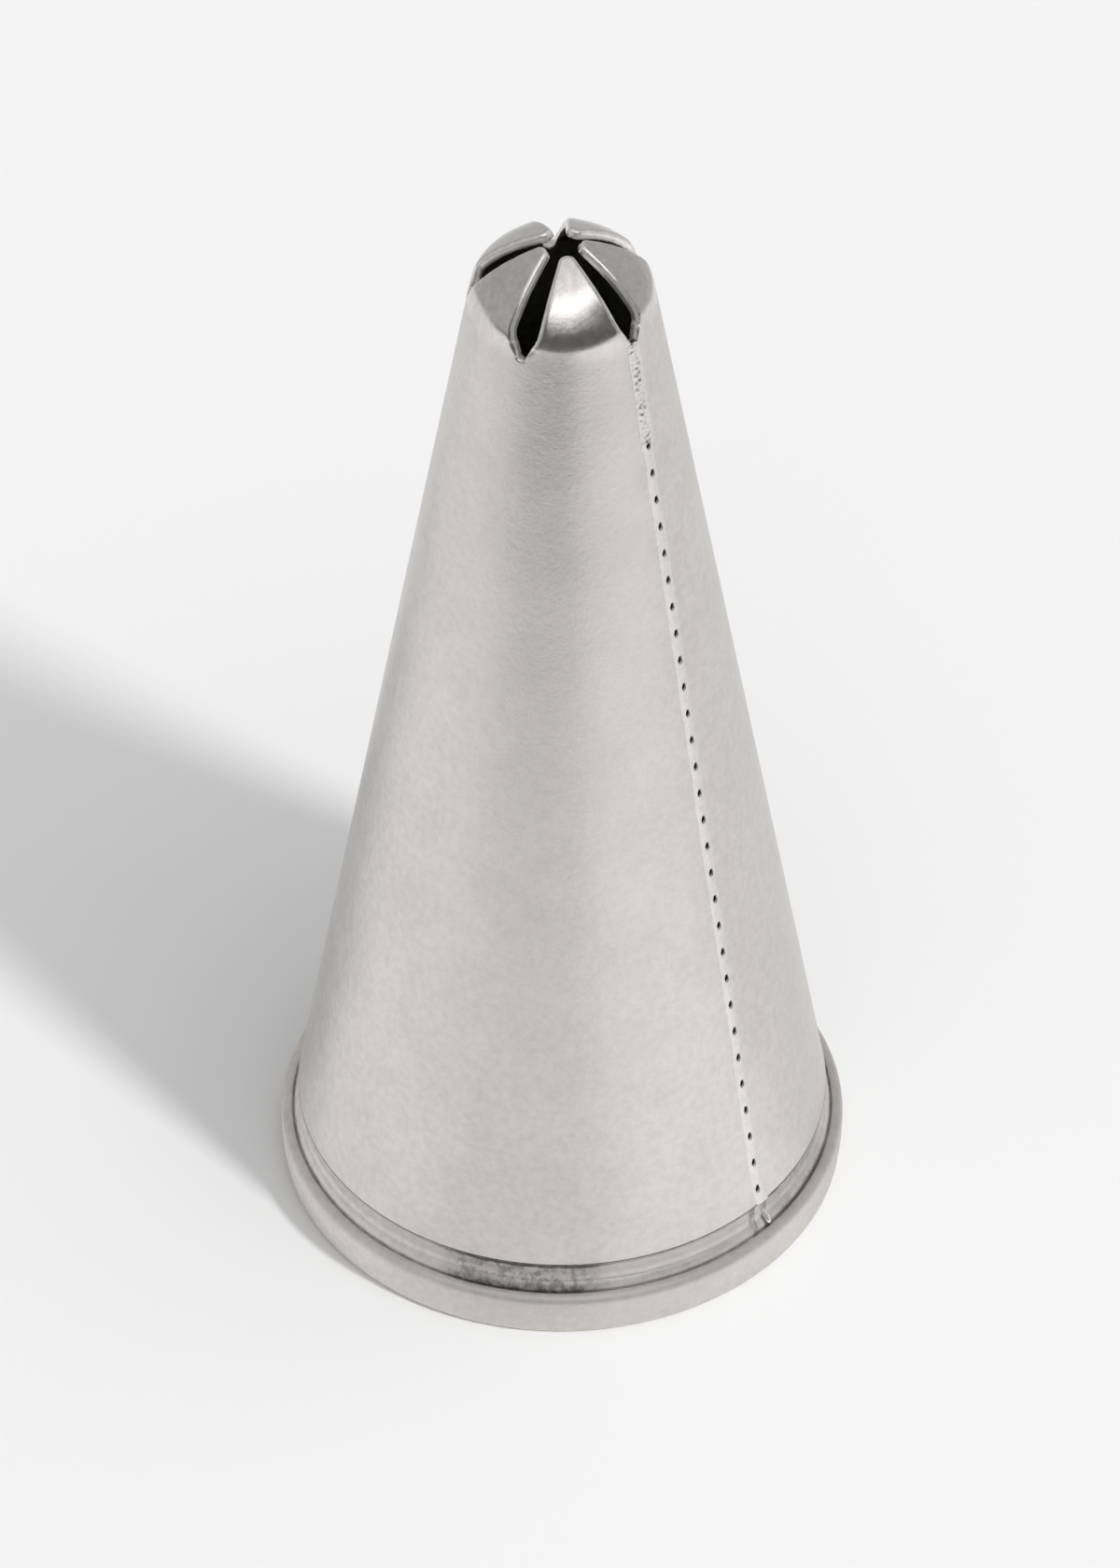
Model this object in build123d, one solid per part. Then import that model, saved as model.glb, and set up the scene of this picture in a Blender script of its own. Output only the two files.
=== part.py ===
from build123d import *
import math
import os

# Piping nozzle with a closed star mouth, standing on its rim.
# +Z runs from the rim to the mouth, the origin is the centre of the rim's foot,
# and the welded seam faces -Y. Sizes are in millimetres.

# The stainless sheet that the whole nozzle is formed from.
sheet = 0.35

# The rim: the foot of the sheet is folded outwards and up, and pressed into a closed hem.
rim_radius = 9.0
hem_height = 1.62
hem_tuck = 0.12
fold_radius = 0.25
belly_height = 0.9
shoulder_round = 0.29
crevice_width = 0.06
crevice_depth = 0.14

# The neck that the hem roller leaves above the rim, and its flare down to the hem.
neck_step = 0.085
neck_bend = 0.15
neck_wall = 0.445
neck_depth = 0.21
flare_radius = 0.46

# The cone, up to the line where the petals start to bend inwards.
crown_height = 37.64
crown_radius = 2.94

# The petals that close the mouth to a star: a bend at the root, then a gentle bow.
petal_count = 5
bend_radius = 1.2
petal_lean = math.radians(44)
bow_radius = 8.2
mouth_radius = 0.73
petal_tip_width = 0.46
petal_edge_round = 0.09
root_round_share = 0.15
tip_curve_share = 0.08
bend_shares = (0, 0.5, 1)
bow_shares = (0.35, 0.7, 1)
slot_width = 0.38
slot_depth = 0.45

# The seam: the two edges of the rolled sheet, and the weld metal between them.
seam_gap = 0.1
nugget_pitch = 1.081
nugget_length = 0.9
nugget_width = 0.46
nugget_crown = 0.05
nugget_slope = 0.12
nugget_start = 1.14
planished_least = 4.1
planished_width = 0.36
planished_crown = 0.015
planished_slope = 0.06
lump_radius = 0.22

# The part of a bead's crown that its sloping sides take up.
bead_slope_share = 0.9

# How far a cutting shape runs past the metal that it cuts.
overrun = 0.6

# Radii of the hem's two layers and the neck, worked out from the rim inwards.
band_bore_radius = rim_radius - sheet
layer_radius = band_bore_radius - crevice_width
rim_bore_radius = layer_radius - sheet
neck_radius = layer_radius - neck_depth
neck_bore_radius = neck_radius - sheet
hem_foot_radius = rim_radius - hem_tuck
cone_foot_radius = neck_radius + neck_step

# Heights of the crevice, the flare and the neck, worked out from the hem upwards.
# The flare is two equal arcs, turned opposite ways.
crevice_floor = hem_height - crevice_depth
flare_turn = math.acos(1 - neck_depth / (2 * flare_radius))
neck_foot = crevice_floor + 2 * flare_radius * math.sin(flare_turn)
neck_bend_foot = neck_foot + neck_wall
neck_height = neck_bend_foot + neck_bend

# The slope of the cone, and the sheet's thickness measured level.
half_angle = math.atan2(cone_foot_radius - crown_radius, crown_height - neck_height)
level_sheet = sheet / math.cos(half_angle)
cone_bore_radius = cone_foot_radius - level_sheet
crown_bore_radius = crown_radius - level_sheet
petal_step = 360 / petal_count
slot_angle = math.pi / petal_count


def surface_radius(height):
    """The cone's outer radius at a height."""
    return cone_foot_radius - (height - neck_height) * math.tan(half_angle)


def on_seam(height):
    """A frame on the seam: x runs along it to the mouth, z points out of the metal."""
    out = Vector(0, -math.cos(half_angle), math.sin(half_angle))
    up = Vector(0, math.sin(half_angle), math.cos(half_angle))
    return Plane(origin=Vector(0, -surface_radius(height), height), x_dir=up, z_dir=out)


def pad(length, width, crown, slope):
    """A bead of weld metal, lying on the seam frame and reaching down to the bore."""
    bead = Pos(0, 0, -sheet) * extrude(SlotOverall(length, width), sheet + crown)
    top = bead.faces().sort_by(Axis.Z)[-1]
    return chamfer(top.edges(), slope, crown * bead_slope_share, reference=top)


def at_petals(shape):
    """A shape drawn at the seam's slot, repeated at every slot."""
    return [Rot(Z=petal_step * number) * shape for number in range(petal_count)]


# The cone wall is the rolled sheet from the neck to the crown.
cone_section = make_face(
    Plane.XZ
    * Polyline(
        (cone_foot_radius, neck_height),
        (crown_radius, crown_height),
        (crown_bore_radius, crown_height),
        (cone_bore_radius, neck_height),
        close=True,
    )
)
cone_wall = revolve(cone_section, Axis.Z)

# Each slot ends in a round foot a little below the crown.
slot_foot = crown_height - slot_depth
slot_reach = crown_radius + overrun
slot_cut = Pos(0, -slot_reach / 2, slot_foot + slot_width / 2) * (
    Rot(X=90) * Cylinder(slot_width / 2, slot_reach)
    + Pos(0, 0, slot_depth / 2) * Box(slot_width, slot_reach, slot_depth)
)
for cut in at_petals(slot_cut):
    cone_wall -= cut

# The two edges of the rolled sheet stay a hair apart all the way down.
seam_cut = Pos(0, -rim_radius / 2, crown_height / 2) * Box(
    seam_gap, rim_radius + overrun, crown_height + overrun
)
cone_wall -= seam_cut

# The stitch weld is one nugget, repeated along the seam until the planished run.
nugget = pad(nugget_length, nugget_width, nugget_crown, nugget_slope)
nugget_rise = nugget_pitch * math.cos(half_angle)
first_nugget_height = neck_height + nugget_start
planished_top = slot_foot + slot_width / 2
stitched_height = planished_top - planished_least - first_nugget_height
nugget_total = 1 + int(stitched_height / nugget_rise)
nuggets = [
    on_seam(first_nugget_height + nugget_rise * number) * nugget
    for number in range(nugget_total)
]
seam_weld = Compound(nuggets)

# Above the stitches the weld was hammered flat, up to the foot of the slot.
planished_foot = first_nugget_height + nugget_rise * nugget_total - nugget_length / 2
planished_length = (planished_top - planished_foot) / math.cos(half_angle)
planished = pad(planished_length, planished_width, planished_crown, planished_slope)
mouth_weld = on_seam((planished_foot + planished_top) / 2) * planished - slot_cut

for bead in nuggets + [mouth_weld]:
    cone_wall -= bead

# The hem and the neck are one run of sheet: down the neck, out over the flare, round
# the fold and up the band.
fold_foot_radius = rim_bore_radius + fold_radius
band_foot_radius = hem_foot_radius - fold_radius
shoulder_foot = hem_height - shoulder_round
belly_rise = belly_height - fold_radius
belly_bow = (belly_rise**2 + hem_tuck**2) / (2 * hem_tuck)


def flare_middle(radius):
    """Where the flare's arcs meet, for the lower arc's radius on either face."""
    return (
        layer_radius - flare_radius + radius * math.cos(flare_turn),
        crevice_floor + radius * math.sin(flare_turn),
    )


flare_out = flare_middle(flare_radius)
flare_in = flare_middle(flare_radius - sheet)
hem_outline = [
    Line((cone_bore_radius, neck_height), (neck_bore_radius, neck_bend_foot)),
    Line((neck_bore_radius, neck_bend_foot), (neck_bore_radius, neck_foot)),
    RadiusArc((neck_bore_radius, neck_foot), flare_in, -flare_radius - sheet),
    RadiusArc(flare_in, (rim_bore_radius, crevice_floor), flare_radius - sheet),
    Line((rim_bore_radius, crevice_floor), (rim_bore_radius, fold_radius)),
    RadiusArc((rim_bore_radius, fold_radius), (fold_foot_radius, 0), -fold_radius),
    Line((fold_foot_radius, 0), (band_foot_radius, 0)),
    RadiusArc((band_foot_radius, 0), (hem_foot_radius, fold_radius), -fold_radius),
    RadiusArc((hem_foot_radius, fold_radius), (rim_radius, belly_height), -belly_bow),
    Line((rim_radius, belly_height), (rim_radius, shoulder_foot)),
    RadiusArc(
        (rim_radius, shoulder_foot), (rim_radius - shoulder_round, hem_height), -shoulder_round
    ),
    Line((rim_radius - shoulder_round, hem_height), (band_bore_radius, hem_height)),
    Line((band_bore_radius, hem_height), (band_bore_radius, crevice_floor)),
    Line((band_bore_radius, crevice_floor), (layer_radius, crevice_floor)),
    RadiusArc((layer_radius, crevice_floor), flare_out, -flare_radius),
    RadiusArc(flare_out, (neck_radius, neck_foot), flare_radius),
    Line((neck_radius, neck_foot), (neck_radius, neck_bend_foot)),
    Line((neck_radius, neck_bend_foot), (cone_foot_radius, neck_height)),
    Line((cone_foot_radius, neck_height), (cone_bore_radius, neck_height)),
]
hem_section = make_face(Plane.XZ * Wire(hem_outline))
rim_hem = revolve(hem_section, Axis.Z) - seam_cut

# Weld metal closes the seam through the hem, and a lump of it sits on the flare.
hem_plate = extrude(Rot(Z=-90) * hem_section, seam_gap / 2, both=True)
lump = Pos(0, -flare_out[0], flare_out[1]) * Rot(X=90) * Sphere(lump_radius)
rim_weld = hem_plate + (lump - rim_hem - cone_wall)


# Side view of a petal: the bend's centre and length, then the bow's up to the mouth.
bend_centre_radius = crown_radius - bend_radius * math.cos(half_angle)
bend_centre_height = crown_height - bend_radius * math.sin(half_angle)
bend_length = bend_radius * (petal_lean - half_angle)
bow_centre_radius = bend_centre_radius - (bow_radius - bend_radius) * math.cos(petal_lean)
bow_centre_height = bend_centre_height - (bow_radius - bend_radius) * math.sin(petal_lean)
mouth_lean = math.acos((mouth_radius - bow_centre_radius) / bow_radius)
bow_length = bow_radius * (mouth_lean - petal_lean)
petal_length = bend_length + bow_length


def petal_section(reach):
    """The petal's section at a distance from its root along the sheet."""
    share = reach / petal_length
    if reach > bend_length:
        lean = petal_lean + (reach - bend_length) / bow_radius
        centre_radius, centre_height, radius = bow_centre_radius, bow_centre_height, bow_radius
    else:
        lean = half_angle + reach / bend_radius
        centre_radius, centre_height, radius = bend_centre_radius, bend_centre_height, bend_radius
    tilt = lean - half_angle * (1 - share) ** 4
    thickness = sheet / math.cos(lean - tilt)

    # The petal is curved like the cone at its root and nearly flat at its tip.
    bow = crown_radius / (1 - share * (1 - tip_curve_share))
    inner_bow = bow - thickness
    root_angle = slot_angle - math.asin(slot_width / 2 / crown_radius)
    root_half_width = crown_radius * math.sin(root_angle)
    half_width = root_half_width + share * (petal_tip_width / 2 - root_half_width)
    edge_angle = math.asin(half_width / bow)

    # The cut side runs along the slot at the root and square to the sheet at the tip.
    side_angle = edge_angle + (slot_angle - root_angle) * (1 - share)
    slew = side_angle - edge_angle
    side_length = bow * math.cos(slew) - math.sqrt(inner_bow**2 - (bow * math.sin(slew)) ** 2)
    outer_corner = (half_width, bow * math.cos(edge_angle) - bow)
    inner_corner = (
        outer_corner[0] - side_length * math.sin(side_angle),
        outer_corner[1] - side_length * math.cos(side_angle),
    )
    outline = Wire(
        [
            ThreePointArc((-outer_corner[0], outer_corner[1]), (0, 0), outer_corner),
            Line(outer_corner, inner_corner),
            ThreePointArc(inner_corner, (0, -thickness), (-inner_corner[0], inner_corner[1])),
            Line((-inner_corner[0], inner_corner[1]), (-outer_corner[0], outer_corner[1])),
        ]
    )
    face = make_face(outline)
    edge_round = petal_edge_round * (root_round_share + share * (1 - root_round_share))
    face = fillet(face.vertices(), edge_round)
    place = Vector(
        0,
        -centre_radius - radius * math.cos(lean),
        centre_height + radius * math.sin(lean),
    )
    out = Vector(0, -math.cos(tilt), math.sin(tilt))
    along = Vector(0, math.sin(tilt), math.cos(tilt))
    return Plane(origin=place, x_dir=out.cross(along), z_dir=along) * face


reaches = [share * bend_length for share in bend_shares]
reaches += [bend_length + share * bow_length for share in bow_shares]
petal = loft([petal_section(reach) for reach in reaches])
petals = [Rot(Z=petal_step * (number + 1 / 2)) * petal for number in range(petal_count)]

os.makedirs("parts", exist_ok=True)
export_step(cone_wall, "parts/cone_wall.step")
export_step(rim_hem, "parts/rim_hem.step")
export_step(seam_weld, "parts/seam_weld.step")
export_step(mouth_weld, "parts/mouth_weld.step")
export_step(rim_weld, "parts/rim_weld.step")
for number, shape in enumerate(petals, start=1):
    export_step(shape, f"parts/petal_{number}.step")
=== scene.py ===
# %% [markdown]
# A piping nozzle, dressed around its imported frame.
# The real one is a single sheet of stainless steel, rolled to a cone, stitch-welded,
# hemmed at its foot and slotted at its tip, where five petals are pressed inwards.
# This lesson loads the frame, sets up the camera and light, then models each region
# of the sheet and the weld metal, and gives them their finishes.

import math
import random

import bpy
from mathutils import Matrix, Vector, noise


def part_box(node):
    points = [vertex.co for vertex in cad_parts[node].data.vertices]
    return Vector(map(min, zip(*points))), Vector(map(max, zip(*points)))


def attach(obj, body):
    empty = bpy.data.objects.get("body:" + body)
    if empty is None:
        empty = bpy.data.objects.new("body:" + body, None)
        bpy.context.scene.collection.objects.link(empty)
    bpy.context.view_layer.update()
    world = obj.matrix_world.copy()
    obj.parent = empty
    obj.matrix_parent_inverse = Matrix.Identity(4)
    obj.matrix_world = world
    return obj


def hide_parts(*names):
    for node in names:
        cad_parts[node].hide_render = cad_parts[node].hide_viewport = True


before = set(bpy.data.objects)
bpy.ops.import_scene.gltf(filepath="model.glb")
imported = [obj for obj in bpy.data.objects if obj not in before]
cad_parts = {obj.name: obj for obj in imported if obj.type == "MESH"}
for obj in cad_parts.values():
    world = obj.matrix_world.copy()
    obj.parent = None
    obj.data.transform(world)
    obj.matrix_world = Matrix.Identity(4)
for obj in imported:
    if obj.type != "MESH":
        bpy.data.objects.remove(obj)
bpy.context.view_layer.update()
bpy.ops.object.select_all(action="DESELECT")
print("nodes:", sorted(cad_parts))

# %% [markdown]
# Every size comes from the frame's boxes, or is a named length in millimetres.
# The seam faces -Y, and the angle round the nozzle is counted from the seam,
# anticlockwise as seen from above.

# %% Sizes read from the frame
MM = 0.001
FULL_TURN = 2 * math.pi

crown_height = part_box("cone_wall")[1].z
neck_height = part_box("cone_wall")[0].z
cone_foot_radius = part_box("cone_wall")[1].x
rim_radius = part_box("rim_hem")[1].x

sheet = 0.35 * MM
crown_radius = 2.94 * MM
half_angle = math.atan2(cone_foot_radius - crown_radius, crown_height - neck_height)
print(f"cone: {math.degrees(half_angle):.2f} degrees, foot {cone_foot_radius / MM:.3f} mm")


def cone_radius(height):
    """The cone's outer radius at a height."""
    return crown_radius + (crown_height - height) * math.tan(half_angle)


# %% [markdown]
# Helpers. In Blender an operator works on whatever is selected, so each piece starts
# with nothing selected, and its parts are picked in code by their place.

# %% Helpers for pieces
def start_piece(name):
    """Names the object that has just been made, and gives it back."""
    piece = bpy.context.active_object
    piece.name = name
    piece.data.name = name
    return piece


def select_only(piece):
    """Makes a piece the only one selected, and the active one."""
    bpy.ops.object.select_all(action="DESELECT")
    bpy.context.view_layer.objects.active = piece
    piece.select_set(True)


def edit(piece):
    """Opens a piece in edit mode with nothing selected."""
    select_only(piece)
    bpy.ops.object.mode_set(mode="EDIT")
    bpy.ops.mesh.select_all(action="DESELECT")


def pick(piece, wanted):
    """Selects the vertices whose place passes a test, and returns how many."""
    bpy.ops.object.mode_set(mode="OBJECT")
    count = 0
    for vertex in piece.data.vertices:
        vertex.select = bool(wanted(vertex.co))
        count += vertex.select
    for line in piece.data.edges:
        line.select = all(piece.data.vertices[i].select for i in line.vertices)
    for face in piece.data.polygons:
        face.select = all(piece.data.vertices[i].select for i in face.vertices)
    bpy.ops.object.mode_set(mode="EDIT")
    return count


def close(piece):
    """Leaves edit mode with the normals pointing outwards."""
    bpy.ops.mesh.select_all(action="SELECT")
    bpy.ops.mesh.remove_doubles(threshold=0.0005 * MM)
    bpy.ops.mesh.normals_make_consistent(inside=False)
    bpy.ops.object.mode_set(mode="OBJECT")


def smooth(piece, degrees=40):
    """Shades a piece smooth, with an edge wherever it turns by more than an angle."""
    select_only(piece)
    bpy.ops.object.shade_smooth_by_angle(angle=math.radians(degrees))
    bpy.ops.object.select_all(action="DESELECT")


def apply_modifiers(piece):
    """Applies every modifier of a piece, from the first to the last."""
    select_only(piece)
    for modifier in list(piece.modifiers):
        bpy.ops.object.modifier_apply(modifier=modifier.name)
    bpy.ops.object.select_all(action="DESELECT")


def finish_piece(piece, materials, nodes):
    """Gives a piece its materials and its body, and hides the frame's nodes that it stands for."""
    while len(piece.data.materials) < len(materials):
        piece.data.materials.append(None)
    for number, material in enumerate(materials):
        piece.data.materials[number] = material
    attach(piece, "root")
    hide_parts(*nodes)
    size = [round(length / MM, 2) for length in piece.dimensions]
    print(f"{piece.name}: {len(piece.data.polygons)} faces, {size} mm")


# %% [markdown]
# The camera looks down at the nozzle from 44 degrees above the level, with the seam
# 48 degrees to the right of the middle. The photograph shows almost no perspective,
# so the camera stands 1.5 m away with a very long lens. Blender lays the film's size
# along the longer side of the picture, here its height.

# %% Camera
camera_rise = math.radians(44.27)
seam_turn = math.radians(48.2)
camera_distance = 1.5
view_height = 49.967 * MM
aim_height = 15.892 * MM
aim_offset = 0.0655 * MM
film_size = 36
clip_range = (0.1, 5)

front = Vector((-math.sin(seam_turn), -math.cos(seam_turn), 0))
right = Vector((math.cos(seam_turn), -math.sin(seam_turn), 0))
upwards = Vector((0, 0, 1))


def way(turn, rise):
    """The direction at an angle to the right of the camera's side and above the level."""
    level = front * math.cos(math.radians(turn)) + right * math.sin(math.radians(turn))
    return level * math.cos(math.radians(rise)) + upwards * math.sin(math.radians(rise))


aim = upwards * aim_height - right * aim_offset
away = front * math.cos(camera_rise) + upwards * math.sin(camera_rise)
camera_data = bpy.data.cameras.new("camera")
camera_data.sensor_width = film_size
camera_data.lens = film_size * camera_distance / view_height
camera_data.clip_start, camera_data.clip_end = clip_range
camera = bpy.data.objects.new("camera", camera_data)
camera.location = aim + away * camera_distance
camera.rotation_euler = away.to_track_quat("Z", "Y").to_euler()
bpy.context.scene.collection.objects.link(camera)
bpy.context.scene.camera = camera
bpy.context.scene.view_settings.view_transform = "Standard"
print(f"camera: lens {camera_data.lens:.0f} mm, seam at the right")

# %% [markdown]
# The light. The shadow falls to the back left and spreads slowly, so the key light is
# small and stands over the seam, 43 degrees up. Steel doesn't mirror it, since it
# would show as a hard white spot. A wide, flat panel over the camera makes the white
# patch on the front petal. The world is split by the kind of ray: the camera sees a
# plain pale grey, polished steel sees a room, and the rest gets a soft fill.

# %% Lights
key_rise = 43
key_strength = 1.55
key_spread = math.radians(7)
panel_turn = 26
panel_rise = 55
panel_distance = 2.0
panel_width = 2.2
panel_height = 0.27
panel_radiance = 1.55

key_data = bpy.data.lights.new("key_light", "SUN")
key_data.energy = key_strength
key_data.angle = key_spread
key = bpy.data.objects.new("key_light", key_data)
key.rotation_euler = way(math.degrees(seam_turn), key_rise).to_track_quat("Z", "Y").to_euler()
key.visible_glossy = False
bpy.context.scene.collection.objects.link(key)

panel_data = bpy.data.lights.new("soft_panel", "AREA")
panel_data.shape = "RECTANGLE"
panel_data.size = panel_width
panel_data.size_y = panel_height
panel_data.energy = panel_radiance * math.pi * panel_width * panel_height
panel = bpy.data.objects.new("soft_panel", panel_data)
panel.location = way(panel_turn, panel_rise) * panel_distance
panel.rotation_euler = way(panel_turn, panel_rise).to_track_quat("Z", "Y").to_euler()
bpy.context.scene.collection.objects.link(panel)
print(f"panel: {panel_data.energy:.2f} W")


# %% [markdown]
# Materials and the world are trees of nodes. These helpers add one node each, and
# give back the socket to go on from.


# %% Node helpers
def add_node(tree, kind, inputs=None, **settings):
    """Adds a node, sets its inputs from values or from other nodes' sockets."""
    made = tree.nodes.new(kind)
    for name, value in settings.items():
        setattr(made, name, value)
    for name, value in (inputs or {}).items():
        if isinstance(value, bpy.types.NodeSocket):
            tree.links.new(value, made.inputs[name])
        else:
            made.inputs[name].default_value = value
    return made


def ramp(tree, value, start, end, low=0.0, high=1.0):
    """A smooth step from low at start to high at end."""
    return add_node(tree, "ShaderNodeMapRange",
                    {"Value": value, "From Min": start, "From Max": end, "To Min": low,
                     "To Max": high}, interpolation_type="SMOOTHSTEP").outputs["Result"]


def sum_of(tree, first, second, operation="ADD"):
    """Two values added, or joined by another operation."""
    return add_node(tree, "ShaderNodeMath", {0: first, 1: second}, operation=operation).outputs[0]


def product(tree, first, second):
    """Two values multiplied."""
    return sum_of(tree, first, second, "MULTIPLY")


def dot(tree, vector, direction):
    """How far a vector points along a direction."""
    return add_node(tree, "ShaderNodeVectorMath", {0: vector, 1: direction},
                    operation="DOT_PRODUCT").outputs["Value"]


def unit(tree, vector):
    """A vector brought to length 1."""
    return add_node(tree, "ShaderNodeVectorMath", {0: vector},
                    operation="NORMALIZE").outputs["Vector"]


def level_part(tree, vector):
    """A vector without its height."""
    return add_node(tree, "ShaderNodeVectorMath", {0: vector, 1: (1, 1, 0)},
                    operation="MULTIPLY").outputs["Vector"]


def length_of(tree, vector):
    """A vector's length."""
    return add_node(tree, "ShaderNodeVectorMath", {0: vector}, operation="LENGTH").outputs["Value"]


def mix(tree, factor, first, second):
    """The first colour, changing to the second as the factor goes to 1."""
    return add_node(tree, "ShaderNodeMix", {"Factor": factor, 6: first, 7: second},
                    data_type="RGBA").outputs[2]


def ray_kinds(tree):
    """The camera's rays, and the rays that polished steel sends out."""
    path = add_node(tree, "ShaderNodeLightPath")
    polished = sum_of(tree, path.outputs["Is Glossy Ray"], path.outputs["Is Transmission Ray"],
                      "MAXIMUM")
    return path.outputs["Is Camera Ray"], polished


# %% [markdown]
# The room that steel sees is grey, with a lighter ceiling. In front it is dark below
# 52 degrees, which makes the dark crescent at the foot of the front petal. The fill,
# which lights the paper and the shadow, comes mostly from the key light's side.

# %% World
backdrop_grey = (0.887, 0.887, 0.887, 1)
fill_dim = (0.08, 0.08, 0.08, 1)
fill_bright = (0.93, 0.93, 0.93, 1)
room_grey = (0.5, 0.5, 0.5, 1)
room_dark = (0.14, 0.14, 0.14, 1)
ceiling_grey = (0.95, 0.95, 0.95, 1)
fill_way, fill_reach = way(45, 30), (-0.7, 0.9)
ceiling_way, ceiling_reach = way(0, 68), (0.72, 0.92)
dark_way, dark_reach = way(12, 0), (0.35, 0.65)
dark_top = (0.79, 0.7)

world = bpy.data.worlds.new("studio")
world.use_nodes = True
bpy.context.scene.world = world
tree = world.node_tree
tree.nodes.clear()
sight = add_node(tree, "ShaderNodeTexCoord").outputs["Generated"]
sight_height = add_node(tree, "ShaderNodeSeparateXYZ", {"Vector": sight}).outputs["Z"]
ahead = dot(tree, unit(tree, level_part(tree, sight)), dark_way)
dark = product(tree, ramp(tree, sight_height, *dark_top), ramp(tree, ahead, *dark_reach))
ceiling = ramp(tree, dot(tree, sight, ceiling_way), *ceiling_reach)
room = mix(tree, dark, mix(tree, ceiling, room_grey, ceiling_grey), room_dark)
fill = mix(tree, ramp(tree, dot(tree, sight, fill_way), *fill_reach), fill_dim, fill_bright)
camera_ray, polished = ray_kinds(tree)
seen = mix(tree, camera_ray, mix(tree, polished, fill, room), backdrop_grey)
sky = add_node(tree, "ShaderNodeBackground", {"Color": seen})
add_node(tree, "ShaderNodeOutputWorld", {"Surface": sky.outputs[0]})
print("world: backdrop for the camera, room for steel, fill for the rest")

# %% [markdown]
# The floor is a sweep of pale paper. Near the nozzle it is plain matt paper, so it takes the
# shadow. Farther out it fades to the backdrop's own grey for the camera, so no horizon shows.
# Steel's rays see painted light on it as well: painted shade, where the paper glows darker far in
# front, where it ends, and far behind, and a painted sheen, where two wedges of paper at the sides
# glow brighter. These make the cone's reflection a little darker in front and lighter left and
# right, as in the photograph.

# %% Floor
floor_size = 1.0
paper_grey = (0.887, 0.887, 0.887, 1)
# glows that only steel's rays see: painted shade on the paper far out, and a painted sheen at the
# sides
painted_shade_grey = (0.18, 0.18, 0.18, 1)
painted_sheen_grey = (1.12, 1.12, 1.12, 1)
backdrop_fade = (90 * MM, 220 * MM)
painted_shade_way, painted_shade_fade = way(-12, 0), (50 * MM, 138 * MM)
shade_fade, shade_strength = (-58 * MM, -78 * MM), 0.45
right_wedge = (way(46, 0), 0.74, 0.985, 1)
left_wedge = (way(-72, 0), 0.75, 0.97, 0.45)
wedge_fade = (140 * MM, 95 * MM)

bpy.ops.mesh.primitive_plane_add(size=floor_size, location=(0, 0, 0))
floor = start_piece("floor")
floor_material = bpy.data.materials.new("paper_sweep")
floor_material.use_nodes = True
tree = floor_material.node_tree
tree.nodes.clear()
place = add_node(tree, "ShaderNodeTexCoord").outputs["Object"]
reach = length_of(tree, place)
forward = dot(tree, place, painted_shade_way)
camera_ray, polished = ray_kinds(tree)
direct = sum_of(tree, polished, camera_ray, "MAXIMUM")
fade = product(tree, ramp(tree, reach, *backdrop_fade), direct)
# painted shade for steel: the paper glows darker far in front and far behind
painted_shade = sum_of(tree, ramp(tree, forward, *painted_shade_fade),
               ramp(tree, forward, *shade_fade, 0, shade_strength))
painted_shade = product(tree, painted_shade, polished)
# painted sheen for steel: two wedges of paper glow brighter at the sides
outwards = unit(tree, place)
wedges = [ramp(tree, dot(tree, outwards, centre), start, full, 0, strength)
          for centre, start, full, strength in (right_wedge, left_wedge)]
painted_sheen = product(tree, sum_of(tree, *wedges), polished)
painted_sheen = product(tree, painted_sheen, ramp(tree, reach, rim_radius, rim_radius + MM))
painted_sheen = product(tree, painted_sheen, ramp(tree, reach, *wedge_fade))
surface = add_node(tree, "ShaderNodeBsdfDiffuse", {"Color": paper_grey}).outputs[0]
for share, colour in ((fade, backdrop_grey), (painted_shade, painted_shade_grey), (painted_sheen, painted_sheen_grey)):
    glow = add_node(tree, "ShaderNodeEmission", {"Color": colour}).outputs[0]
    surface = add_node(tree, "ShaderNodeMixShader", {0: share, 1: surface, 2: glow}).outputs[0]
add_node(tree, "ShaderNodeOutputMaterial", {"Surface": surface})
floor.data.materials.append(floor_material)
print("floor: 1 m of paper")

# %% [markdown]
# The steel. Rolling and polishing run round the cone, so the satin skin spreads its reflections up
# and down: that is the shader's anisotropy, turned a quarter from the direction round the axis.
# Tumbling adds a fine mottle. The press burnishes the petals, so their roughness falls smoothly
# above the crown. Some light and shade is painted into the colour: the rim band and the flare are
# painted lighter, standing in for reflected light, and painted shade darkens the crease below the
# cone, the crevice above the band and two lines beside the weld. The flare is also darkened in
# specks, most in front and just right of the seam, and the weld metal is darker the deeper it lies
# below the cone's face, most in its pits. The pattern reads Object coordinates, the frame's own
# metres, so it runs on from piece to piece.


# %% Steel
cloud_scale, mottle_scale, fine_scale = 420, 3400, 9000
bump_distance, fine_bump_distance = 0.02 * MM, 0.006 * MM
pressed_from, pressed_to = crown_height - 0.9 * MM, crown_height + 0.2 * MM
pressed_bump, pressed_fine_bump = 0.08, 0.25
band_edge = (8.61 * MM, 8.67 * MM)
# painted light: the rim band's colour is made lighter, standing in for reflected light
band_painted_light = 1.12
flare_top = (2.25 * MM, 2.0 * MM)
# painted light: the flare's colour is made lighter, standing in for the highlight it would reflect
flare_painted_light = 1.25
neck_bend = (neck_height + 0.1 * MM, neck_height - 0.1 * MM)
neck_pressed = 0.05
neck_rough = 0.14
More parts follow.
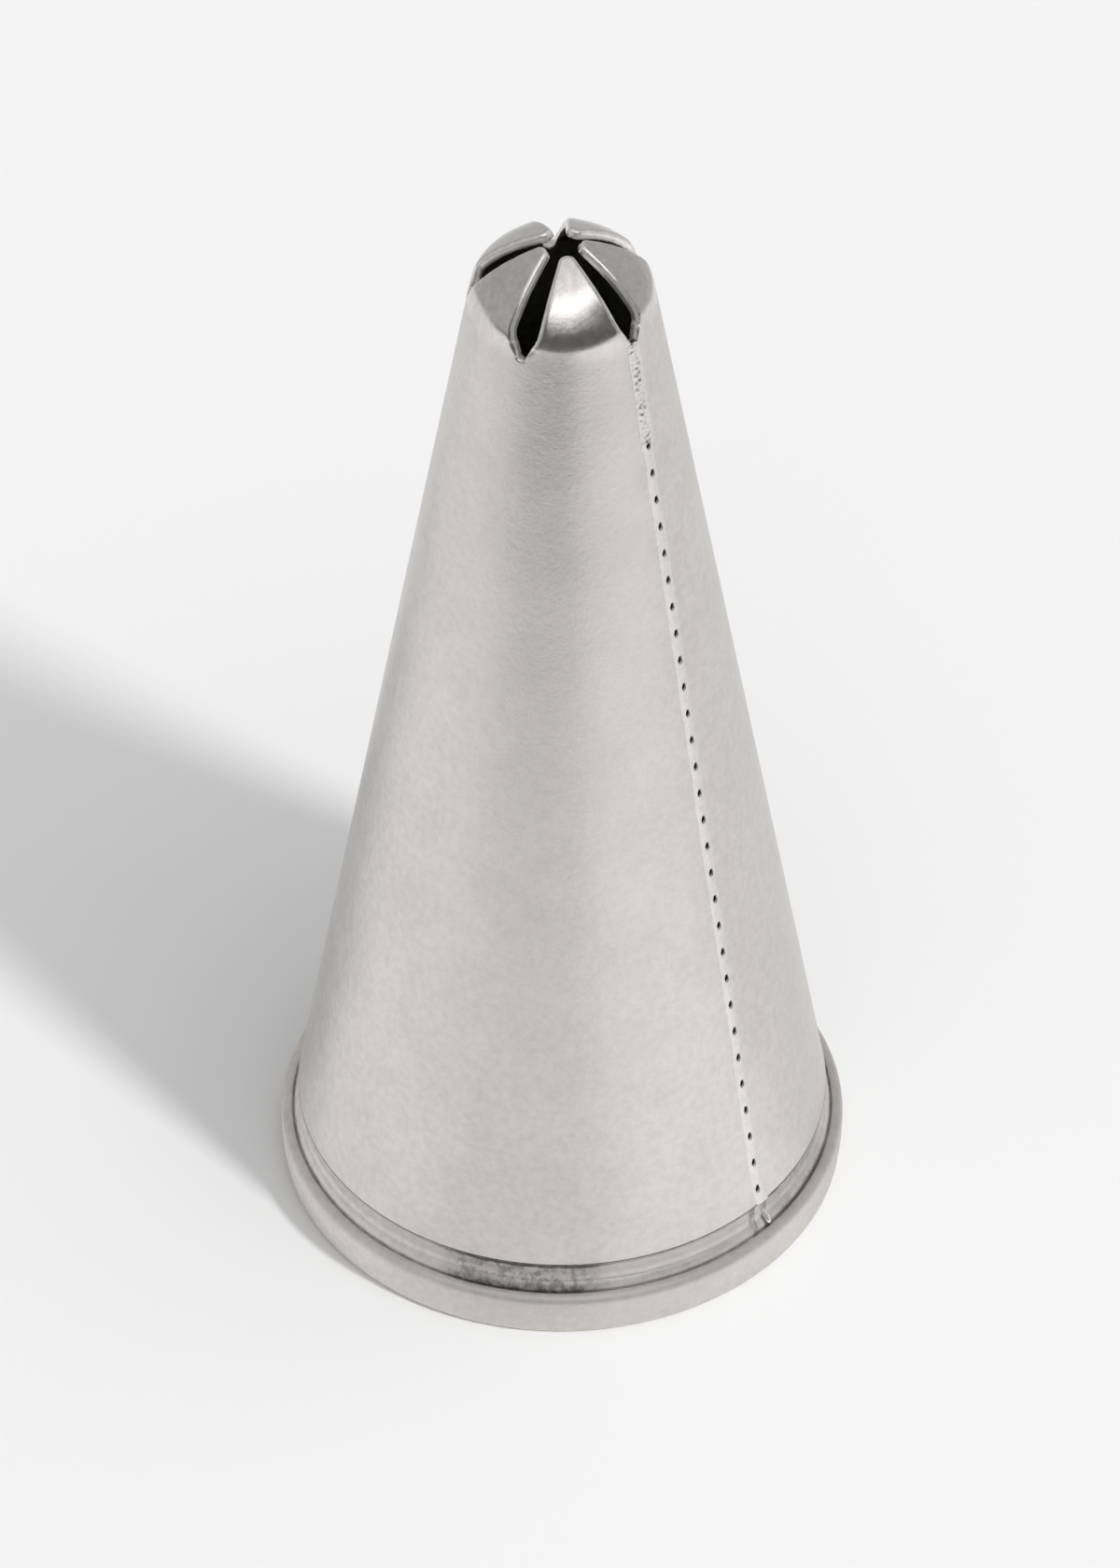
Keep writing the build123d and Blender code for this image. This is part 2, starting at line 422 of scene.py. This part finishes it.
# painted shade in the crease below the cone, in the crevice above the band and in two lines beside
# the weld, and specks that darken the flare, most in front and just right of the seam
crease_top = (2.72 * MM, 2.6 * MM)
crease_foot = (2.42 * MM, 2.5 * MM)
crease_strength = 0.3
darkened_top = (2.6 * MM, 2.5 * MM)
crevice_shade_heights = (1.85 * MM, 1.65 * MM)
darkened_front = (way(-9, 0), 0.93, 0.985, 1)
darkened_side = (way(64, 0), 0.96, 0.99, 0.6)
groove_shade_inner = (0.1 * MM, 0.16 * MM)
groove_shade_outer = (0.5 * MM, 0.32 * MM)
darkening_full = 1.2
darkest_value = 0.25
# the weld metal is darker the deeper it lies below the cone's face, most in its pits
sunk_darkening_depth = (0.01 * MM, 0.06 * MM)
sunk_darkest_value = 0.12


def grain_of(tree, place, scale, detail, roughness):
    """A noise over the metal."""
    return add_node(tree, "ShaderNodeTexNoise",
                    {"Vector": place, "Scale": scale, "Detail": detail,
                     "Roughness": roughness}).outputs["Fac"]


def shade_and_speckle_of(tree, place, height, band, mottle):
    """How much the colour is darkened: painted shade in the crease, the crevice and two lines
    beside the weld, and specks on the flare.
    """
    outwards = unit(tree, level_part(tree, place))
    zones = [ramp(tree, dot(tree, outwards, centre), start, full, 0, strength)
             for centre, start, full, strength in (darkened_front, darkened_side)]
    # painted shade in the crease below the cone
    crease = product(tree, ramp(tree, height, *crease_top), ramp(tree, height, *crease_foot))
    crease = product(tree, crease, ramp(tree, mottle, 0.35, 0.6, 0.4, 1))
    low = product(tree, ramp(tree, height, *darkened_top), ramp(tree, band, 1, 0))
    # specks on the flare, and painted shade deep in the crevice
    speck = ramp(tree, mottle, 0.38, 0.62, 0.25, 0.75)
    crevice_shade = product(tree, ramp(tree, height, *crevice_shade_heights, 0, 0.35), low)
    darkness = sum_of(tree, sum_of(tree, product(tree, low, speck), crevice_shade), crease)
    darkness = product(tree, darkness, sum_of(tree, *zones))
    darkness = sum_of(tree, darkness, product(tree, crease, crease_strength))
    # painted shade: two dark lines beside the weld, standing in for grooves
    parts = add_node(tree, "ShaderNodeSeparateXYZ", {"Vector": place})
    beside = sum_of(tree, parts.outputs["X"], 0, "ABSOLUTE")
    groove_shade = product(tree, ramp(tree, beside, *groove_shade_inner), ramp(tree, beside, *groove_shade_outer))
    groove_shade = product(tree, groove_shade, ramp(tree, parts.outputs["Y"], 0, -MM))
    return sum_of(tree, darkness, product(tree, product(tree, groove_shade, low), speck))


def steel(name, colour, rough, grain, pull, metal=1.0, shaded_and_speckled=False, darker_when_sunk=False):
    """Stainless steel: rough gives the roughness of satin, pressed and rim-band places."""
    made = bpy.data.materials.new(name)
    made.use_nodes = True
    tree = made.node_tree
    tree.nodes.clear()
    place = add_node(tree, "ShaderNodeTexCoord").outputs["Object"]
    height = add_node(tree, "ShaderNodeSeparateXYZ", {"Vector": place}).outputs["Z"]
    reach = length_of(tree, level_part(tree, place))
    cloud = grain_of(tree, place, cloud_scale, 4, 0.6)
    mottle = grain_of(tree, place, mottle_scale, 3, 0.65)
    fine = grain_of(tree, place, fine_scale, 2, 0.5)
    band = ramp(tree, reach, *band_edge)
    off_band = ramp(tree, band, 1, 0)

    value = product(tree, ramp(tree, mottle, 0.25, 0.75, 0.91, 1.09),
                    ramp(tree, cloud, 0.3, 0.7, 0.97, 1.03))
    # painted light on the rim band
    value = product(tree, value, ramp(tree, band, 0, 1, 1, band_painted_light))
    # painted light on the flare
    flare = product(tree, ramp(tree, height, *flare_top), off_band)
    value = product(tree, value, ramp(tree, flare, 0, 1, 1, flare_painted_light))
    if shaded_and_speckled:
        # painted shade and specks darken the colour
        darkness = shade_and_speckle_of(tree, place, height, band, mottle)
        value = product(tree, value, ramp(tree, darkness, 0, darkening_full, 1, darkest_value))
    # darker with depth below the cone's face
    if darker_when_sunk:
        surface = sum_of(tree, product(tree, height, -math.tan(half_angle)),
                         crown_radius + crown_height * math.tan(half_angle))
        sunk = sum_of(tree, surface, reach, "SUBTRACT")
        value = product(tree, value, ramp(tree, sunk, *sunk_darkening_depth, 1, sunk_darkest_value))
    tint = add_node(tree, "ShaderNodeVectorMath", {0: colour, "Scale": value}, operation="SCALE")

    pressed = sum_of(tree, ramp(tree, height, pressed_from, pressed_to),
                     ramp(tree, height, *neck_bend, 0, neck_pressed))
    gloss = ramp(tree, pressed, 0, 1, rough[0], rough[1])
    gloss = sum_of(tree, gloss,
                   ramp(tree, height, neck_height, neck_height - 0.2 * MM, 0, neck_rough))
    gloss = sum_of(tree, product(tree, gloss, off_band), product(tree, band, rough[2]))
    gloss = product(tree, gloss, ramp(tree, mottle, 0.3, 0.7, 0.88, 1.12))
    coarse = add_node(tree, "ShaderNodeBump",
                      {"Height": mottle, "Distance": bump_distance,
                       "Strength": ramp(tree, pressed, 0, 1, 0.5 * grain, pressed_bump)})
    bump = add_node(tree, "ShaderNodeBump",
                    {"Height": fine, "Distance": fine_bump_distance,
                     "Strength": ramp(tree, pressed, 0, 1, grain, pressed_fine_bump),
                     "Normal": coarse.outputs["Normal"]})
    around = add_node(tree, "ShaderNodeVectorMath", {0: upwards, 1: place},
                      operation="CROSS_PRODUCT")
    skin = add_node(tree, "ShaderNodeBsdfPrincipled",
                    {"Base Color": tint.outputs["Vector"], "Metallic": metal, "Roughness": gloss,
                     "Normal": bump.outputs["Normal"], "Anisotropic": pull,
                     "Anisotropic Rotation": 0.25, "Tangent": around.outputs["Vector"]})
    add_node(tree, "ShaderNodeOutputMaterial", {"Surface": skin.outputs[0]})
    print("material:", name)
    return made


satin = steel("satin_steel", (0.655, 0.632, 0.611), (0.36, 0.2, 0.6), 1.0, 0.4, shaded_and_speckled=True)
sheared = steel("sheared_edge", (0.78, 0.76, 0.74), (0.3, 0.24, 0.3), 1.0, 0, metal=0.8)
bead_skin = steel("weld_bead", (0.82, 0.81, 0.79), (0.25, 0.25, 0.25), 0.6, 0)
weld_skin = steel("weld_metal", (0.74, 0.718, 0.698), (0.4, 0.4, 0.5), 1.0, 0, darker_when_sunk=True)

# %% [markdown]
# The cone. The wall's section is a long thin plate. It is drawn flat at the seam, its
# lower corner is rounded where the neck undercuts it, and a spin carries it round to
# the seam's other edge. The two edges are then pushed parallel, 0.18 mm apart, so the
# pits of the weld can open into the gap.


# %% Draw a section
def draw_section(name, points):
    """A face in the plane of the seam, drawn point by point: (radius, height)."""
    bpy.ops.mesh.primitive_plane_add(size=MM)
    piece = start_piece(name)
    bpy.ops.object.mode_set(mode="EDIT")
    bpy.ops.mesh.select_all(action="SELECT")
    bpy.ops.mesh.merge(type="CENTER")
    here = Vector((0, 0, 0))
    for number, (radius, height) in enumerate(points):
        there = Vector((0, -radius, height))
        if number:
            bpy.ops.mesh.extrude_vertices_move(TRANSFORM_OT_translate={"value": there - here})
        else:
            bpy.ops.transform.translate(value=there - here)
        here = there
    bpy.ops.mesh.select_all(action="SELECT")
    bpy.ops.mesh.edge_face_add()
    return piece


def round_corner(piece, radius, height, size, segments=4):
    """Rounds the corner of a section at a point."""
    near = 0.004 * MM
    spot = Vector((0, -radius, height))
    pick(piece, lambda co: (co - spot).length < near)
    bpy.ops.mesh.bevel(offset=size, segments=segments, affect="VERTICES")


# %% Cone wall
crown_share_depth = 0.75 * MM
seam_gap = 0.18 * MM
seam_angle = 0.012
wall_steps = 200
bend_round = 0.05 * MM

level_sheet = sheet / math.cos(half_angle)
top_height = crown_height - crown_share_depth
cone = draw_section("cone_sheet", [
    (cone_foot_radius, neck_height),
    (cone_radius(top_height), top_height),
    (cone_radius(top_height) - level_sheet, top_height),
    (cone_foot_radius - level_sheet, neck_height),
])
round_corner(cone, cone_foot_radius, neck_height, bend_round)
bpy.ops.mesh.select_all(action="SELECT")
bpy.ops.mesh.spin(steps=wall_steps, angle=FULL_TURN - seam_angle,
                  center=(0, 0, 0), axis=(0, 0, 1))
close(cone)
edit(cone)
drawn, near_seam = 1e-4 * MM, seam_angle * 1.5
for side in (1, -1):
    found = pick(cone, lambda co: co.y < 0 and (
        abs(co.x) < drawn if side < 0 else 1e-4 < math.atan2(co.x, -co.y) < near_seam))
    print("seam edge:", found, "points")
    bpy.ops.transform.resize(value=(0, 1, 1), center_override=(0, 0, 0))
    bpy.ops.transform.translate(value=(side * seam_gap / 2, 0, 0))
bpy.ops.object.mode_set(mode="OBJECT")
smooth(cone)
finish_piece(cone, [satin], ["cone_wall"])

# %% [markdown]
# The rim. The sheet goes down the neck, flares out in two small arcs, and is folded
# up again outside as a band, pressed tight against the flare. Only a thin crevice
# shows between the two layers. The same way of working fits: draw the section, round
# its corners, spin it.

# %% Rim
rim_steps = 320
neck_radius = 8.38 * MM
neck_bend_height = 2.51 * MM
neck_foot = 2.0 * MM
layer_radius = 8.59 * MM
crevice_floor = 1.48 * MM
crevice_width = 0.06 * MM
flare_turn = 50
flare_upper = 0.15 * MM
hem_height = 1.62 * MM
hem_foot_radius = rim_radius - 0.12 * MM
belly_height = 0.9 * MM
fold_round = 0.25 * MM
belly_round = 0.4 * MM
shoulder_round = 0.27 * MM
lip_round = 0.05 * MM


def arc(centre, radius, start, end, count=6):
    """Points of an arc of a section, between two angles in degrees."""
    angles = [math.radians(start + (end - start) * n / count) for n in range(count + 1)]
    return [(centre[0] + radius * math.cos(a), centre[1] + radius * math.sin(a)) for a in angles]


flare_lower = (layer_radius - neck_radius) / (1 - math.cos(math.radians(flare_turn))) - flare_upper
flare_low = neck_foot - (flare_upper + flare_lower) * math.sin(math.radians(flare_turn))
upper_centre = (neck_radius + flare_upper, neck_foot)
lower_centre = (layer_radius - flare_lower, flare_low)
inside_flare = arc(upper_centre, flare_upper + sheet, 180, 180 + flare_turn)
inside_flare += arc(lower_centre, flare_lower - sheet, flare_turn, 0)[1:]
outside_flare = arc(lower_centre, flare_lower, 0, flare_turn, 10)
outside_flare += arc(upper_centre, flare_upper, 180 + flare_turn, 180)[1:]
rim_bore = layer_radius - sheet
lip_radius = layer_radius + crevice_width
rim = draw_section("rim_sheet", [
    (cone_foot_radius - level_sheet, neck_height),
    (neck_radius - sheet, neck_bend_height),
    *inside_flare,
    (rim_bore, 0),
    (hem_foot_radius, 0),
    (rim_radius, belly_height),
    (rim_radius, hem_height),
    (lip_radius, hem_height),
    (lip_radius, crevice_floor),
    *outside_flare,
    (neck_radius, neck_bend_height),
    (cone_foot_radius, neck_height),
])
round_corner(rim, rim_bore, 0, fold_round, 8)
round_corner(rim, hem_foot_radius, 0, fold_round, 8)
round_corner(rim, rim_radius, belly_height, belly_round, 8)
round_corner(rim, rim_radius, hem_height, shoulder_round, 8)
round_corner(rim, lip_radius, hem_height, lip_round, 4)
round_corner(rim, neck_radius, neck_bend_height, bend_round, 4)
bpy.ops.mesh.select_all(action="SELECT")
bpy.ops.mesh.spin(steps=rim_steps, angle=FULL_TURN, center=(0, 0, 0), axis=(0, 0, 1))
close(rim)
smooth(rim, 50)
finish_piece(rim, [satin], ["rim_hem"])

# %% [markdown]
# The petals. On the bench this is a flat blank with slots sawn into it, whose edges
# are tumbled round, and which is then pressed inwards over a punch. The lesson does
# the same: a grid is given the blank's outline, a Solidify modifier gives it the
# sheet's thickness, and a formula presses it. The formula follows the cone below the
# crown, bends on a 1.2 mm radius above it, and goes on in a gentle bow to the tip,
# flattening the petal across as it goes. Each piece takes in its share of the crown
# below the petal, past the slot's feet.

# %% Petal blank
petal_count = 5
petal_length = 3.22 * MM
bend_radius = 1.2 * MM
bend_lean = math.radians(44)
bow_radius = 8.2 * MM
edge_round = 0.24 * MM
edge_drop = 0.145 * MM
tip_half_width = 0.2 * MM
tip_corner = 0.16 * MM
side_bulge = 0.045 * MM
tip_curve_share = 0.08
tilt_fade = 4
foot_margin = 0.12 * MM
edge_fade = 0.4 * MM
foot_edge_share = 0.3
tip_edge_share = 0.6
least_row = 0.004 * MM
across_count = 44

bend_length = bend_radius * (bend_lean - half_angle)
bend_centre = (crown_radius - bend_radius * math.cos(half_angle),
               crown_height - bend_radius * math.sin(half_angle))
bow_centre = (bend_centre[0] + (bend_radius - bow_radius) * math.cos(bend_lean),
              bend_centre[1] + (bend_radius - bow_radius) * math.sin(bend_lean))
root_depth = crown_share_depth / math.cos(half_angle)
print(f"petal: bend {bend_length / MM:.3f} mm of {petal_length / MM:.3f} mm")


def petal_rows(feet):
    """Places of the blank's rows, closer together where its outline turns."""
    rows = [-root_depth, 0]
    for depth, width in feet:
        rows += [-depth - foot_margin * n / 4 for n in range(1, 5)]
        rows += [-depth + width / 2 * (1 - math.cos(math.pi / 2 * n / 8)) for n in range(9)]
    rows += [-0.2 * MM, -0.1 * MM]
    rows += [bend_length * n / 14 for n in range(1, 15)]
    rows += [bend_length + (petal_length - tip_corner - bend_length) * n / 20 for n in range(1, 21)]
    rows += [petal_length - tip_corner * (1 - math.sin(math.pi / 2 * n / 8)) for n in range(1, 9)]
    kept = []
    for row in sorted(rows):
        if row >= -root_depth and (not kept or row - kept[-1] > least_row):
            kept.append(row)
    return kept


def side_reach(along, reach, foot):
    """Half the blank's width at a height: the slot's round foot, its side, the taper."""
    depth, slot = foot
    centre = slot / 2 - depth
    if along <= -depth:
        return reach
    if along < centre:
        return reach - math.sqrt(max(0, (slot / 2) ** 2 - (centre - along) ** 2))
    width = reach - slot / 2
    share = (along - centre) / (petal_length - centre)
    width += (tip_half_width - width) * share + side_bulge * math.sin(math.pi * share)
    into_corner = along - (petal_length - tip_corner)
    if into_corner > 0:
        width -= tip_corner - math.sqrt(max(0, tip_corner**2 - into_corner**2))
    return width


def edge_distance(across, along, reach, foot):
    """How far a point of the blank lies from the nearest cut edge."""
    depth, slot = foot
    centre = slot / 2 - depth
    if along < centre:
        return math.hypot(reach - abs(across), along - centre) - slot / 2
    taper = math.atan2(reach - slot / 2 - tip_half_width, petal_length - centre)
    side = side_reach(min(along, petal_length - tip_corner), reach, foot) - abs(across)
    if along > petal_length - tip_corner:
        side -= (along - petal_length + tip_corner) * math.tan(taper)
    side *= math.cos(taper)
    end = petal_length - along
    if side < tip_corner and end < tip_corner:
        return tip_corner - math.hypot(tip_corner - side, tip_corner - end)
    return min(side, end)


def press(across, along, depth):
    """Where a point of the flat blank goes: x to the side, y outwards, z up."""
    share = min(max(0, along / petal_length), 1)
    if along < 0:
        lean, bow = half_angle, crown_radius - along * math.sin(half_angle)
        turn = across / crown_radius
        axis_radius, height = bow, crown_height + along * math.cos(half_angle)
    else:
        lean = half_angle + along / bend_radius
        centre, radius = bend_centre, bend_radius
        if along > bend_length:
            lean = bend_lean + (along - bend_length) / bow_radius
            centre, radius = bow_centre, bow_radius
        bow = crown_radius / (1 - share * (1 - tip_curve_share))
        turn = across / bow
        axis_radius = centre[0] + radius * math.cos(lean)
        height = centre[1] + radius * math.sin(lean)
    tilt = lean - half_angle * (1 - share) ** tilt_fade
    out = Vector((0, math.cos(tilt), math.sin(tilt)))
    up = Vector((0, -math.sin(tilt), math.cos(tilt)))
    side = Vector((1, 0, 0))
    spot = Vector((0, axis_radius, height))
    spot += side * bow * math.sin(turn) - out * bow * (1 - math.cos(turn))
    slant = lean - tilt
    face = (out * math.cos(turn) + side * math.sin(turn)) * math.cos(slant) + up * math.sin(slant)
    return spot + face * depth


def edge_width(along):
    """How wide the cut edge's rounding is: little at the slot's foot, less at the tip."""
    if along < 0:
        return edge_round * max(foot_edge_share, 1 + along / edge_fade)
    return edge_round * (1 - (1 - tip_edge_share) * along / petal_length)


def broken(distance, width):
    """How far the sheet's face drops where its cut edge is rounded."""
    near = 1 - min(max(distance, 0) / width, 1)
    return edge_drop * (1 - math.sqrt(1 - near**2))


# %% [markdown]
# The press. The real slots aren't quite even, so each has its own place, depth and
# width, and the saw's small waves and the edge's small lumps come from a noise. The
# faces of the cut edge get the sheared finish.

# %% Press the petals
slot_turns = [math.radians(d) for d in (1.5, 72, 140.5, 216, 286)]
slot_feet = [(depth * MM, width * MM) for depth, width in
             ((0.5, 0.2), (0.46, 0.28), (0.66, 0.42), (0.46, 0.3), (0.5, 0.27))]
tip_shifts = [shift * MM for shift in (0, -0.1, 0, 0, 0)]
sway = 0.02 * MM
sway_length = 0.22 * MM
sway_low = -0.4 * MM
lump_share = 0.3
inner_edge_share = 0.45
sheared_share = 0.5


def make_petal(number):
    """One petal between two slots, with its own small unevenness."""
    first, last = slot_turns[number], slot_turns[(number + 1) % petal_count]
    if last < first:
        last += FULL_TURN
    feet = (slot_feet[number], slot_feet[(number + 1) % petal_count])
    rows = petal_rows(feet)
    middle = (first + last) / 2
    reach = (last - first) / 2 * crown_radius

    def uneven(along, right_side):
        """The blank's reach at a height, with the saw's small waves."""
        wave = noise.noise(Vector((along / sway_length, number * 7, right_side * 3)))
        return reach + (sway * wave if along > sway_low else 0)

    bpy.ops.mesh.primitive_grid_add(x_subdivisions=across_count,
                                    y_subdivisions=len(rows) - 1, size=2)
    petal = start_piece(f"petal_{number + 1}_sheet")
    for vertex in petal.data.vertices:
        along = rows[round((vertex.co.y + 1) / 2 * (len(rows) - 1))]
        right_side = vertex.co.x > 0
        spread = math.sin(math.pi / 2 * vertex.co.x)
        width = side_reach(along, uneven(along, right_side), feet[right_side])
        vertex.co = (spread * width, along, 0)
    wall = petal.modifiers.new("wall", "SOLIDIFY")
    wall.thickness = sheet
    wall.offset = -1
    petal.data.materials.append(satin)
    petal.data.materials.append(sheared)
    wall.material_offset_rim = 1
    apply_modifiers(petal)
    cut_edge = set()
    for vertex in petal.data.vertices:
        across, along, depth = vertex.co
        right_side = across > 0
        distance = edge_distance(across, along, uneven(along, right_side), feet[right_side])
        width = edge_width(along)
        if distance < width * sheared_share:
            cut_edge.add(vertex.index)
        lump = noise.noise(Vector((along / sway_length * 2, number * 5 + right_side * 2, 4)))
        drop = broken(distance, width) * (1 + lump_share * lump)
        depth = depth - drop if depth > -sheet / 2 else depth + drop * inner_edge_share
        across += tip_shifts[number] * max(0, along / petal_length)
        spot = press(across, along, depth)
        cosine, sine = math.cos(middle), math.sin(middle)
        vertex.co = (spot.x * cosine + spot.y * sine, spot.x * sine - spot.y * cosine, spot.z)
    for face in petal.data.polygons:
        if cut_edge.issuperset(face.vertices):
            face.material_index = 1
    edit(petal)
    close(petal)
    smooth(petal, 60)
    finish_piece(petal, [satin, sheared], [f"petal_{number + 1}"])


for number in range(petal_count):
    make_petal(number)

# %% [markdown]
# The stitches. Each nugget of weld metal is a low cushion that bridges the seam's gap,
# and between two of them the gap shows as a small dark pit. One nugget is a grid
# pressed into a cushion with half a pit at each end and a faint dimple in the middle.
# It is modelled once, then copied up the seam, each copy a little uneven.

# %% Stitches
nugget_pitch = 1.081 * MM
nugget_half_width = 0.25 * MM
nugget_rise = 0.034 * MM
nugget_sink = 0.012 * MM
dimple_depth = 0.008 * MM
pit_half_width = 0.09 * MM
pit_half_length = 0.15 * MM
pit_depth = 0.26 * MM
pit_steepness = 2.2
first_pit = 3.28 * MM
nugget_count = 28
nugget_widths = (0.92, 1.08)
nugget_rises = (0.75, 1.3)
nugget_shift = 0.02 * MM
nugget_wave = 0.12


def seat(piece, height):
    """Puts a piece of weld drawn flat on the seam: x across, y along, z out of the metal."""
    out = Vector((0, -math.cos(half_angle), math.sin(half_angle)))
    up = Vector((0, math.sin(half_angle), math.cos(half_angle)))
    side = up.cross(out)
    spot = Vector((0, -cone_radius(height), height))
    for vertex in piece.data.vertices:
        x, y, z = vertex.co
        vertex.co = spot + side * x + up * y + out * z


def thicken(piece):
    """Gives a strip of weld its thickness, into the seam."""
    wall = piece.modifiers.new("wall", "SOLIDIFY")
    wall.thickness = sheet / 2
    wall.offset = -1
    apply_modifiers(piece)


def pit(across, from_pit):
    """The depth of a pit at a distance from its middle."""
    near = math.hypot(across / pit_half_width, from_pit / pit_half_length)
    return pit_depth * min(1, max(0, (1 - near) * pit_steepness))


bpy.ops.mesh.primitive_grid_add(x_subdivisions=36, y_subdivisions=34, size=2)
nugget = start_piece("nugget")
for vertex in nugget.data.vertices:
    across, along, _ = vertex.co
    x, y = across * nugget_half_width, along * nugget_pitch / 2
    rise = (nugget_rise + nugget_sink) * math.cos(math.pi / 2 * across) - nugget_sink
    rise -= dimple_depth * math.exp(-((across * 4) ** 2 + (along * 7) ** 2))
    vertex.co = (x, y, rise - pit(x, nugget_pitch / 2 - abs(y)))
thicken(nugget)

rough_hand = random.Random(7)
stitches = []
for number in range(nugget_count):
    copy = nugget.copy()
    copy.data = nugget.data.copy()
    bpy.context.scene.collection.objects.link(copy)
    wider, taller = rough_hand.uniform(*nugget_widths), rough_hand.uniform(*nugget_rises)
    bend = rough_hand.uniform(-nugget_shift, nugget_shift)
    for vertex in copy.data.vertices:
        x, y, z = vertex.co
        bulge = 1 - (2 * y / nugget_pitch) ** 2
        wave = 1 + nugget_wave * noise.noise(Vector((x * 6 / MM, y * 4 / MM, number)))
        x = x * (1 + (wider * wave - 1) * bulge) + bend * bulge
        vertex.co = (x, y, z * (1 + (taller * wave - 1) * bulge) if z > 0 else z)
    seat(copy, first_pit + (number + 0.5) * nugget_pitch * math.cos(half_angle))
    stitches.append(copy)
bpy.data.objects.remove(nugget)
bpy.ops.object.select_all(action="DESELECT")
for stitch in stitches:
    stitch.select_set(True)
bpy.context.view_layer.objects.active = stitches[0]
bpy.ops.object.join()
stitch_weld = start_piece("stitch_weld")
smooth(stitch_weld, 60)
finish_piece(stitch_weld, [weld_skin], ["seam_weld"])

# %% [markdown]
# The top of the weld, from the last pit to the slot, was rolled almost flat. It is a
# thin strip with small ripples: a grid, lifted by a noise, given a thickness. Its low
# end holds half of the last pit.

# %% Weld below the mouth
ripple_rise = 0.055 * MM
ripple_size = 0.14 * MM
ripple_sway = 0.25
top_weld_low = first_pit + nugget_count * nugget_pitch * math.cos(half_angle)
top_weld_high = crown_height - 0.42 * MM
top_weld_length = (top_weld_high - top_weld_low) / math.cos(half_angle)
top_weld_half_width = 0.28 * MM

bpy.ops.mesh.primitive_grid_add(x_subdivisions=20, y_subdivisions=170, size=2)
top_weld = start_piece("mouth_weld_strip")
for vertex in top_weld.data.vertices:
    across, along, _ = vertex.co
    x, y = across * top_weld_half_width, along * top_weld_length / 2
    wave = noise.noise(Vector((x / ripple_size, y / ripple_size, 5)))
    x *= 1 + ripple_sway * noise.noise(Vector((0, y / ripple_size / 2, 9)))
    rise = (0.5 + wave) * math.cos(math.pi / 2 * across) - 0.1 * abs(across)
    vertex.co = (x, y, ripple_rise * rise - pit(x, y + top_weld_length / 2))
thicken(top_weld)
seat(top_weld, (top_weld_low + top_weld_high) / 2)
smooth(top_weld, 60)
finish_piece(top_weld, [weld_skin], ["mouth_weld"])

# %% [markdown]
# Below the first pit the weld runs down to the neck. It is the same low strip, with
# half a pit at its top, and its foot drifts a little to the right.

# %% Weld above the rim
foot_weld_low = neck_height - 0.02 * MM
foot_weld_shift = 0.17 * MM
foot_weld_curve = 1.6
foot_weld_length = (first_pit - foot_weld_low) / math.cos(half_angle)
bpy.ops.mesh.primitive_grid_add(x_subdivisions=26, y_subdivisions=24, size=2)
foot_weld = start_piece("foot_weld_strip")
for vertex in foot_weld.data.vertices:
    across, along, _ = vertex.co
    x, y = across * nugget_half_width, along * foot_weld_length / 2
    rise = (nugget_rise + nugget_sink) * math.cos(math.pi / 2 * across) - nugget_sink
    shift = foot_weld_shift * ((1 - along) / 2) ** foot_weld_curve
    vertex.co = (x + shift, y, rise - pit(x, foot_weld_length / 2 - y))
thicken(foot_weld)
seat(foot_weld, (foot_weld_low + first_pit) / 2)
smooth(foot_weld, 60)
finish_piece(foot_weld, [weld_skin], [])

# %% [markdown]
# Where the weld crosses the rim, it left a small bright drop on the flare. It is a
# sphere drawn out to a teardrop, with its narrow end up, and leant against the flare.

# %% Weld on the flare
drop_width = 0.13 * MM
drop_length = 0.3 * MM
drop_spot = Vector((0.3 * MM, -8.465 * MM, 1.92 * MM))
drop_lean = math.radians(38)
drop_flatness = 0.8
drop_narrow, drop_taper = 0.55, 0.45
drop_wave = 0.15

bpy.ops.mesh.primitive_uv_sphere_add(segments=32, ring_count=24, radius=1)
drop = start_piece("rim_weld_drop")
for vertex in drop.data.vertices:
    x, y, z = vertex.co
    pinch = drop_narrow + drop_taper * (1 - z) / 2
    x, y, z = x * drop_width * pinch, y * drop_width * drop_flatness * pinch, z * drop_length
    wave = 1 + drop_wave * noise.noise(Vector((x, y, z)) * 6 / MM)
    x, y = x * wave, y * wave
    cosine, sine = math.cos(drop_lean), math.sin(drop_lean)
    vertex.co = drop_spot + Vector((x, y * cosine + z * sine, z * cosine - y * sine))
smooth(drop, 60)
finish_piece(drop, [bead_skin], ["rim_weld"])
